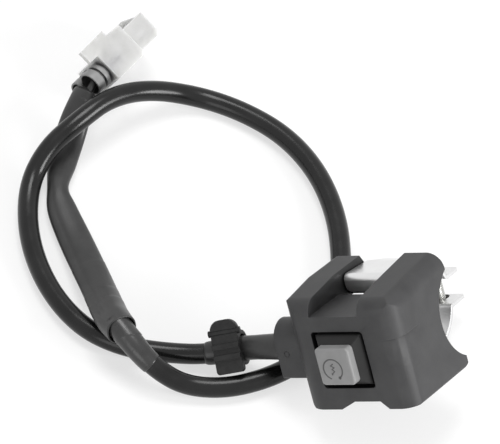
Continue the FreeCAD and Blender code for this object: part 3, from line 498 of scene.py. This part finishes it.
def lathe_ring(shape, z, radii):
    """Ring of points round the screw's axis."""
    ring = []
    for j, radius in enumerate(radii):
        a = 2 * math.pi * j / screw_sides
        x = screw_at[0] + radius * math.cos(a)
        y = screw_at[1] + radius * math.sin(a)
        ring.append(shape.verts.new(switch_point(x, y, z)))
    return ring


def slot_mesh():
    """Cutter for the cross slot in the head."""
    shape = bmesh.new()
    head_top = head_profile[0][0]
    low = head_top - slot_depth
    high = head_top + slot_depth
    for half_x, half_y in ((slot_length / 2, slot_width / 2), (slot_width / 2, slot_length / 2)):
        corners = [(-half_x, -half_y), (half_x, -half_y), (half_x, half_y), (-half_x, half_y)]
        base = [shape.verts.new(switch_point(screw_at[0] + x, screw_at[1] + y, low)) for x, y in corners]
        roof = [shape.verts.new(switch_point(screw_at[0] + x, screw_at[1] + y, high)) for x, y in corners]
        shape.faces.new(base[::-1])
        shape.faces.new(roof)
        for i in range(4):
            k = (i + 1) % 4
            shape.faces.new((base[i], base[k], roof[k], roof[i]))
    data = bpy.data.meshes.new("cross_slot")
    shape.to_mesh(data)
    shape.free()
    return data


screw_shape = bmesh.new()
screw_rows = [lathe_ring(screw_shape, z, [radius] * screw_sides) for z, radius in head_profile]
z = screw_seat_z
while z > screw_tip_z - row_gap:
    turned_radii = [screw_radius(z, j / screw_sides) for j in range(screw_sides)]
    screw_rows.append(lathe_ring(screw_shape, z - row_gap, turned_radii))
    z -= thread_pitch / thread_rows
for above, below in zip(screw_rows, screw_rows[1:]):
    for j in range(screw_sides):
        k = (j + 1) % screw_sides
        screw_shape.faces.new((above[j], below[j], below[k], above[k]))
screw_shape.faces.new(screw_rows[0])
screw_shape.faces.new(screw_rows[-1][::-1])
bmesh.ops.recalc_face_normals(screw_shape, faces=screw_shape.faces)
screw_data = bpy.data.meshes.new("threaded_screw")
screw_shape.to_mesh(screw_data)
screw_shape.free()
threaded_screw = bpy.data.objects.new("threaded_screw", screw_data)
scene.collection.objects.link(threaded_screw)
slot_cutter = bpy.data.objects.new("cross_slot", slot_mesh())
scene.collection.objects.link(slot_cutter)
slot_cut = threaded_screw.modifiers.new("cross_slot", "BOOLEAN")
slot_cut.operation = "DIFFERENCE"
slot_cut.solver = "EXACT"
slot_cut.use_self = True
slot_cut.object = slot_cutter
bpy.context.view_layer.update()
slotted = threaded_screw.evaluated_get(bpy.context.evaluated_depsgraph_get())
slotted_data = bpy.data.meshes.new_from_object(slotted)
threaded_screw.modifiers.clear()
threaded_screw.data = slotted_data
bpy.data.objects.remove(slot_cutter)
slotted_data.materials.clear()
slotted_data.materials.append(screw_zinc)
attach(threaded_screw, "screw")
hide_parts("clamp_screw")

# The push button: a satin grey cap on a black sloped surround, both moulded nylon,
# snapped together.
cap_plastic = moulded(
    "cap_plastic",
    (0.22, 0.22, 0.22),
    (0.26, 0.26, 0.26),
    0.42,
    bump=0.08,
    Specular_IOR_Level=0.3,
)
dress("button_cap", cap_plastic)
frame_plastic = moulded(
    "frame_plastic",
    (0.022, 0.022, 0.022),
    (0.03, 0.03, 0.03),
    0.6,
    bump=0.15,
    Specular_IOR_Level=0.12,
)
dress("button_frame", frame_plastic)
soften("button_frame", 0.0001)

# The start symbol printed on the cap: a ring that is open below and ends in a dot,
# round a flash that ends in an arrow head. It is a film of dark ink, a hair thick.
cap_front_y = -34.4
ink_height = 0.03
ring_centre = (0.09, -0.27)
ring_radius = 2.6
ring_width = 0.34
ring_start = 247.7
ring_sweep = 305.0
ring_steps = 48
dot_radius = 0.4
dot_steps = 20
flash_path = [(0.5, 1.22), (-0.33, 0.68), (0.54, 0.2), (-0.17, -0.27), (0.46, -0.77), (-0.32, -1.38)]
flash_width = 0.25
mitre_limit = 0.45
arrow_outline = [(-0.5, -1.12), (-0.6, -1.78), (-0.04, -1.62)]


def ink_outline(shape, outline):
    """Thin printed patch with a given outline on the cap's face."""
    count = len(outline)
    base = [shape.verts.new(switch_point(x, cap_front_y + ink_height, z)) for x, z in outline]
    face = [shape.verts.new(switch_point(x, cap_front_y - ink_height, z)) for x, z in outline]
    shape.faces.new(face)
    for i in range(count):
        k = (i + 1) % count
        shape.faces.new((base[i], base[k], face[k], face[i]))


def ink_line(shape, path, width):
    """Printed line of even width, mitred at its corners."""
    sides = ([], [])
    for i, point in enumerate(path):
        before = Vector(path[max(i - 1, 0)])
        after = Vector(path[min(i + 1, len(path) - 1)])
        here = Vector(point)
        leave = (after - here).normalized() if i < len(path) - 1 else (here - before).normalized()
        arrive = (here - before).normalized() if i else leave
        mean = (arrive + leave).normalized()
        reach = width / 2 / max(mitre_limit, mean.dot(arrive))
        out = Vector((-mean.y, mean.x)) * reach
        sides[0].append(here + out)
        sides[1].append(here - out)
    for i in range(len(path) - 1):
        ink_outline(shape, [sides[0][i], sides[0][i + 1], sides[1][i + 1], sides[1][i]])


def arc_path(centre, radius, start, sweep, steps):
    """Points along an arc on the cap's face, angles in degrees."""
    turns = [math.radians(start + sweep * i / steps) for i in range(steps + 1)]
    return [(centre[0] + radius * math.cos(a), centre[1] + radius * math.sin(a)) for a in turns]


ink_shape = bmesh.new()
ring_path = arc_path(ring_centre, ring_radius, ring_start, -ring_sweep, ring_steps)
ink_line(ink_shape, ring_path, ring_width)
ink_outline(ink_shape, arc_path(ring_path[-1], dot_radius, 0.0, 360.0, dot_steps)[:-1])
ink_line(ink_shape, flash_path, flash_width)
ink_outline(ink_shape, arrow_outline)
bmesh.ops.recalc_face_normals(ink_shape, faces=ink_shape.faces)
ink_data = bpy.data.meshes.new("start_symbol")
ink_shape.to_mesh(ink_data)
ink_shape.free()
ink_data.materials.append(moulded("symbol_ink", (0.055, 0.055, 0.055), (0.075, 0.075, 0.075), 0.5, bump=0.05))
start_symbol = bpy.data.objects.new("start_symbol", ink_data)
scene.collection.objects.link(start_symbol)
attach(start_symbol, "button")

# Behind the cap a moulded stem runs through a rubber ring to the contact bar, with a
# wire spring round it. The two fixed contacts are brass, with a thin lead to each.
natural_plastic = moulded("natural_plastic", (0.55, 0.53, 0.48), (0.64, 0.62, 0.56), 0.45)
dress("plunger", natural_plastic)
dress("contact_carrier", natural_plastic)
dress("stem_seal", moulded("ring_rubber", (0.02, 0.02, 0.02), (0.035, 0.035, 0.035), 0.6))
contact_brass = metal(bpy.data.materials.new("contact_brass"), (0.66, 0.48, 0.24), (0.8, 0.62, 0.34), 0.25)
for contact in ("contact_bridge", "contact_left", "contact_right", "terminal_upper", "terminal_lower"):
    dress(contact, contact_brass)
spring_steel = metal(bpy.data.materials.new("spring_steel"), (0.4, 0.4, 0.41), (0.6, 0.6, 0.6), 0.3)
dress("bridge_clip", spring_steel)
coil_data = nodes["return_spring"].data.copy()
coil_data.materials.clear()
coil_data.materials.append(spring_steel)
coil_spring = bpy.data.objects.new("coil_spring", coil_data)
scene.collection.objects.link(coil_spring)
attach(coil_spring, "switch")
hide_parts("return_spring")
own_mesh(coil_spring)
lead_plastic = moulded("lead_plastic", (0.02, 0.02, 0.02), (0.035, 0.035, 0.035), 0.35, bump=0.1)
dress("lead_left", lead_plastic)
dress("lead_right", lead_plastic)

# The cable: 5 mm across in a smooth black sheath, 299 mm from the outlet to its taped
# end. It makes one loop on the bench and rises over its own flat sleeve.
cable_diameter = 0.005
cable_route = [
    (-0.02211, -0.02022, -0.00153),
    (-0.03423, -0.02022, -0.00770),
    (-0.0414, -0.0237, -0.0101),
    (-0.0511, -0.0263, -0.01105),
    (-0.0613, -0.0284, -0.01105),
    (-0.0728, -0.0267, -0.01105),
    (-0.0847, -0.0189, -0.01105),
    (-0.0948, -0.0067, -0.01105),
    (-0.1007, 0.0074, -0.0105),
    (-0.0996, 0.0167, -0.0062),
    (-0.0949, 0.0247, -0.0028),
    (-0.0905, 0.0343, -0.0024),
    (-0.0838, 0.0430, -0.0063),
    (-0.0736, 0.0489, -0.01105),
    (-0.0617, 0.0487, -0.01105),
    (-0.0494, 0.0456, -0.01105),
    (-0.0382, 0.0384, -0.01105),
    (-0.0290, 0.0278, -0.01105),
    (-0.0227, 0.0157, -0.01105),
    (-0.0185, 0.0034, -0.01105),
    (-0.0176, -0.0093, -0.01105),
    (-0.0209, -0.0177, -0.01105),
    (-0.0266, -0.0251, -0.01105),
    (-0.0342, -0.0310, -0.01105),
    (-0.0429, -0.0339, -0.0106),
    (-0.0496, -0.0346, -0.0070),
    (-0.0556, -0.0331, -0.0036),
    (-0.0606, -0.0301, -0.0022),
]


def cable_curve(name, thickness):
    """Smooth curve along the cable's route."""
    data = bpy.data.curves.new(name, "CURVE")
    data.dimensions = "3D"
    data.resolution_u = 16
    data.bevel_depth = thickness / 2
    data.bevel_resolution = 8
    data.use_fill_caps = thickness > 0
    spline = data.splines.new("NURBS")
    spline.points.add(len(cable_route) - 1)
    for point, place in zip(spline.points, cable_route):
        point.co = (*place, 1)
    spline.order_u = 3
    spline.use_endpoint_u = True
    made = bpy.data.objects.new(name, data)
    scene.collection.objects.link(made)
    return made


cable = cable_curve("cable_sheath", cable_diameter)
sheath_rubber = moulded(
    "sheath_rubber",
    (0.006, 0.006, 0.006),
    (0.011, 0.011, 0.011),
    0.22,
    bump=0.1,
    mottle=140.0,
    edge_sheen_share=0.0,
    Specular_IOR_Level=0.28,
)
cable.data.materials.append(sheath_rubber)
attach(cable, "switch")
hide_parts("cable")

bare_line = cable_curve("cable_line", 0.0)
line_mesh = bpy.data.meshes.new_from_object(bare_line)
cable_line = [vertex.co.copy() for vertex in line_mesh.vertices]
bpy.data.objects.remove(bare_line)
bpy.data.meshes.remove(line_mesh)

# The outlet's sleeve: soft black rubber moulded over the cable, a little thicker at
# the housing and under the clip, with a rounded end.
relief_shape = [
    (0.0, 3.3),
    (5.0, 3.08),
    (9.0, 2.95),
    (15.0, 3.0),
    (19.0, 2.95),
    (20.9, 2.86),
    (21.7, 2.74),
    (22.0, 2.56),
]
relief_rows = 56
relief_step = 0.4
relief_points = 48
upward = Vector((0, 0, 1))


def line_lengths(line):
    """Distance of each point of a line from its start."""
    lengths = [0.0]
    for before, after in zip(line, line[1:]):
        lengths.append(lengths[-1] + (after - before).length)
    return lengths


def line_point(line, lengths, distance):
    """Point and heading at a distance along a line."""
    for i in range(1, len(line)):
        if lengths[i] >= distance or i == len(line) - 1:
            share = (distance - lengths[i - 1]) / max(lengths[i] - lengths[i - 1], 1e-9)
            heading = (line[i] - line[i - 1]).normalized()
            return line[i - 1].lerp(line[i], share), heading


def shape_at(shape, distance):
    """Value between the two nearest entries of a list of (distance, value)."""
    for (d0, v0), (d1, v1) in zip(shape, shape[1:]):
        if distance <= d1:
            share = (distance - d0) / (d1 - d0)
            return v0 + (v1 - v0) * share
    return shape[-1][1]


def skin_mesh(name, rings, material, body):
    """Mesh through rings of equal count, smooth along and around, with flat ends."""
    count = len(rings[0])
    points = [point for ring in rings for point in ring]
    faces = []
    for i in range(len(rings) - 1):
        for j in range(count):
            k = (j + 1) % count
            faces.append((i * count + j, i * count + k, (i + 1) * count + k, (i + 1) * count + j))
    faces.append(tuple(range(count))[::-1])
    faces.append(tuple(range((len(rings) - 1) * count, len(rings) * count)))
    data = bpy.data.meshes.new(name)
    data.from_pydata(points, [], faces)
    shell = bmesh.new()
    shell.from_mesh(data)
    bmesh.ops.recalc_face_normals(shell, faces=shell.faces)
    shell.to_mesh(data)
    shell.free()
    for polygon in data.polygons:
        polygon.use_smooth = len(polygon.vertices) == 4
    data.materials.append(material)
    made = bpy.data.objects.new(name, data)
    scene.collection.objects.link(made)
    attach(made, body)
    return made


def round_ring(centre, heading, radii):
    """Ring of points square to a heading, one for each radius."""
    across = heading.cross(upward).normalized()
    above = across.cross(heading).normalized()
    ring = []
    for j, radius in enumerate(radii):
        a = 2 * math.pi * j / len(radii)
        ring.append(centre + (across * math.cos(a) + above * math.sin(a)) * radius)
    return ring


cable_lengths = line_lengths(cable_line)
relief_rings = []
for i in range(relief_rows):
    distance = i * relief_step
    place, heading = line_point(cable_line, cable_lengths, distance / 1000)
    relief_radius = shape_at(relief_shape, distance) / 1000
    relief_rings.append(round_ring(place, heading, [relief_radius] * relief_points))
sleeve_rubber = moulded(
    "sleeve_rubber",
    (0.022, 0.022, 0.022),
    (0.036, 0.036, 0.036),
    0.36,
    bump=0.2,
    Specular_IOR_Level=0.4,
)
relief = skin_mesh("outlet_sleeve", relief_rings, sleeve_rubber, "switch")
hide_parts("strain_relief")

# The clip: rough black nylon, a ring round the outlet's sleeve with a flat buckle
# head, its raised bars and a cross pin.
clip_nylon = moulded(
    "clip_nylon",
    (0.004, 0.004, 0.004),
    (0.02, 0.02, 0.02),
    0.5,
    bump=0.8,
    grain=1500.0,
    mottle=500.0,
    Specular_IOR_Level=0.25,
)
for piece in ("clip_band", "clip_plate", "clip_pin"):
    dress(piece, clip_nylon)
    soften(piece, 0.00025)

# The tape: two turns of black tape bind the cable's end into the flat sleeve's mouth.
# The upper turn laps over the lower one on a slant, and the lower one ends in a step.
tape_length = 11.0
tape_reach = 2.4
tape_joint = 3.1
tape_slant = 1.0
slant_from = 0.5
slant_to = 6.0
tape_shape = [
    (-tape_reach, 2.95),
    (tape_joint - 0.05, 3.07),
    (tape_joint + 0.05, 2.95),
    (5.0, 2.9),
    (8.0, 2.78),
    (10.7, 2.68),
    (10.95, 2.6),
    (tape_length, 2.52),
]
tape_steps = 134
tape_points = 64


def lap_radius(distance, a):
    """Radius of the tape at a distance from its end, with its lap on a slant."""
    slant = tape_slant * math.cos(a) if slant_from < distance < slant_to else 0.0
    return shape_at(tape_shape, distance - slant) / 1000


tape_rings = []
for i in range(tape_steps + 1):
    distance = tape_length - (tape_length + tape_reach) * i / tape_steps
    place, heading = line_point(cable_line, cable_lengths, cable_lengths[-1] - max(distance, 0.0) / 1000)
    place = place + heading * max(-distance, 0.0) / 1000
    tape_radii = [lap_radius(distance, 2 * math.pi * j / tape_points) for j in range(tape_points)]
    tape_rings.append(round_ring(place, heading, tape_radii))
tape_black = moulded(
    "tape_black",
    (0.02, 0.02, 0.02),
    (0.034, 0.034, 0.034),
    0.3,
    bump=0.3,
    grain=1200.0,
    Specular_IOR_Level=0.45,
)
tape = skin_mesh("lapped_tape", tape_rings, tape_black, "switch")
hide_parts("tape_wrap")

# The flat sleeve: thin black tube over the two wires, round at the taped joint, pressed
# flat with a ridge over the wires where it lies on the bench, open at the connector.
sleeve_stations = [
    ((-60.7, -30.1, -2.1), 7.2, 6.9, 0, 0.0),
    ((-64.0, -27.1, -3.5), 8.0, 6.0, 0, 0.5),
    ((-67.2, -23.2, -5.4), 8.2, 5.0, 0, 0.85),
    ((-74.1, -14.2, -9.3), 8.2, 4.2, 0, 0.7),
    ((-83.2, -3.7, -11.5), 8.2, 3.8, 0, 0.5),
    ((-90.6, 4.6, -11.5), 7.2, 3.6, 0, 0.3),
    ((-94.1, 10.2, -11.2), 5.2, 3.6, 0, 0.1),
    ((-96.1, 17.6, -11.5), 7.0, 3.6, 0, 0.0),
    ((-97.2, 24.5, -11.0), 7.4, 3.6, 0, 0.0),
    ((-97.6, 30.2, -8.6), 7.4, 3.6, -12, 0.0),
    ((-97.5, 34.8, -5.8), 7.0, 3.8, -28, 0.0),
    ((-97.4, 35.6, -5.4), 6.8, 3.9, -29, 0.0),
]
ridge_offset = 0.13
ridge_half = 0.36
ridge_foot = 0.4
sleeve_wall = 0.45
band_edges = [(2.15, 1.045), (2.6, 1.03), (3.42, 1.015)]
band_step = 0.008
oval_power = 0.85
heading_reach = 0.1
joint_round = 0.12
mouth_round = 0.3
lip_depth = 0.3
mouth_depth = 2.2
sleeve_steps = 8
sleeve_points = 64
last_station = len(sleeve_stations) - 1


def spline_value(values, at):
    """Smooth value between the entries of a list, through each of them."""
    i = min(int(at), len(values) - 2)
    t = at - i
    p0, p1, p2, p3 = (values[max(0, min(len(values) - 1, i + k))] for k in (-1, 0, 1, 2))
    square = p0 * 2 - p1 * 5 + p2 * 4 - p3
    cube = p1 * 3 - p0 - p2 * 3 + p3
    return p1 + ((p2 - p0) + (square + cube * t) * t) * (t * 0.5)


def sleeve_section(width, height, ridge, a):
    """Point of the sleeve's section: an oval with a ridge over the wires."""
    c = math.copysign(abs(math.cos(a)) ** oval_power, math.cos(a))
    s = math.copysign(abs(math.sin(a)) ** oval_power, math.sin(a))
    off = (c / 2 - ridge_offset) / ridge_half
    hump = ridge_foot + (1 - ridge_foot) * math.sqrt(max(0.0, 1 - off * off))
    tall = 1 - ridge + ridge * hump if s > 0 else 1.0
    return c * width / 2000, s * height * tall / 2000


sleeve_places, *sleeve_sections = zip(*sleeve_stations)
sleeve_centres = [Vector(place) / 1000 for place in sleeve_places]
sleeve_marks = [i / sleeve_steps for i in range(last_station * sleeve_steps + 1)]
sleeve_marks += [edge + nudge for edge, swell in band_edges for nudge in (-band_step, band_step)]
sleeve_marks.sort()
sleeve_rings = []
for at in sleeve_marks:
    centre = spline_value(sleeve_centres, at)
    ahead = spline_value(sleeve_centres, min(at + heading_reach, last_station))
    behind = spline_value(sleeve_centres, max(at - heading_reach, 0.0))
    heading = (ahead - behind).normalized()
    width, height, roll, ridge = (spline_value(values, at) for values in sleeve_sections)
    swell = next((size for edge, size in band_edges if at < edge), 1.0)
    across = Matrix.Rotation(math.radians(roll), 3, heading) @ heading.cross(upward).normalized()
    above = across.cross(heading).normalized()
    ring = []
    for j in range(sleeve_points):
        a = 2 * math.pi * j / sleeve_points
        side, rise = sleeve_section(width * swell, height * swell, max(0.0, ridge), a)
        ring.append(centre + across * side + above * rise)
    sleeve_rings.append(ring)
first_heading = (sleeve_centres[1] - sleeve_centres[0]).normalized()
last_heading = (sleeve_centres[-1] - sleeve_centres[-2]).normalized()


def mouth_rings(ring, inward, round_out):
    """Rings that turn a tube's end in over its wall and down inside it."""
    middle = sum(ring, Vector()) / len(ring)
    made = []
    for share, depth in ((0.2, -round_out), (0.8, -round_out), (1.0, lip_depth), (1.0, mouth_depth)):
        wall = share * sleeve_wall / 1000
        step = inward * depth / 1000
        made.append([point - (point - middle).normalized() * wall + step for point in ring])
    return made


sleeve_rings = mouth_rings(sleeve_rings[0], first_heading, joint_round)[::-1] + sleeve_rings
sleeve_rings += mouth_rings(sleeve_rings[-1], -last_heading, mouth_round)
flat_sleeve = skin_mesh("flat_sleeve", sleeve_rings, sleeve_rubber, "switch")
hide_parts("harness_sleeve")

# The connector: a milky natural nylon shell with a latch ramp and a wall beside its
# wires, two ribbed grey silicone seals, and a thin wire into each.
# The shell's edges get a stronger painted sheen than the other mouldings.
plug_nylon = moulded(
    "plug_nylon",
    (0.42, 0.42, 0.415),
    (0.58, 0.58, 0.575),
    0.33,
    bump=0.1,
    mottle=110.0,
    edge_sheen_share=0.5,
    Subsurface_Weight=0.9,
    Subsurface_Radius=(0.004, 0.004, 0.0038),
    Subsurface_Scale=1.0,
)
dress("connector_housing", plug_nylon)
dress("connector_retainer", plug_nylon)
soften("connector_housing", 0.0002)
# Painted sheen on the seals' edges and painted shade in their grooves.
seal_silicone = moulded("seal_silicone", (0.19, 0.19, 0.19), (0.25, 0.25, 0.25), 0.42, bump=0.15, hollow_shade=0.9)
for seal in ("seal_upper", "seal_lower"):
    dress(seal, seal_silicone)
    soften(seal, 0.00012)
for wire in ("wire_upper", "wire_lower"):
    dress(wire, lead_plastic)
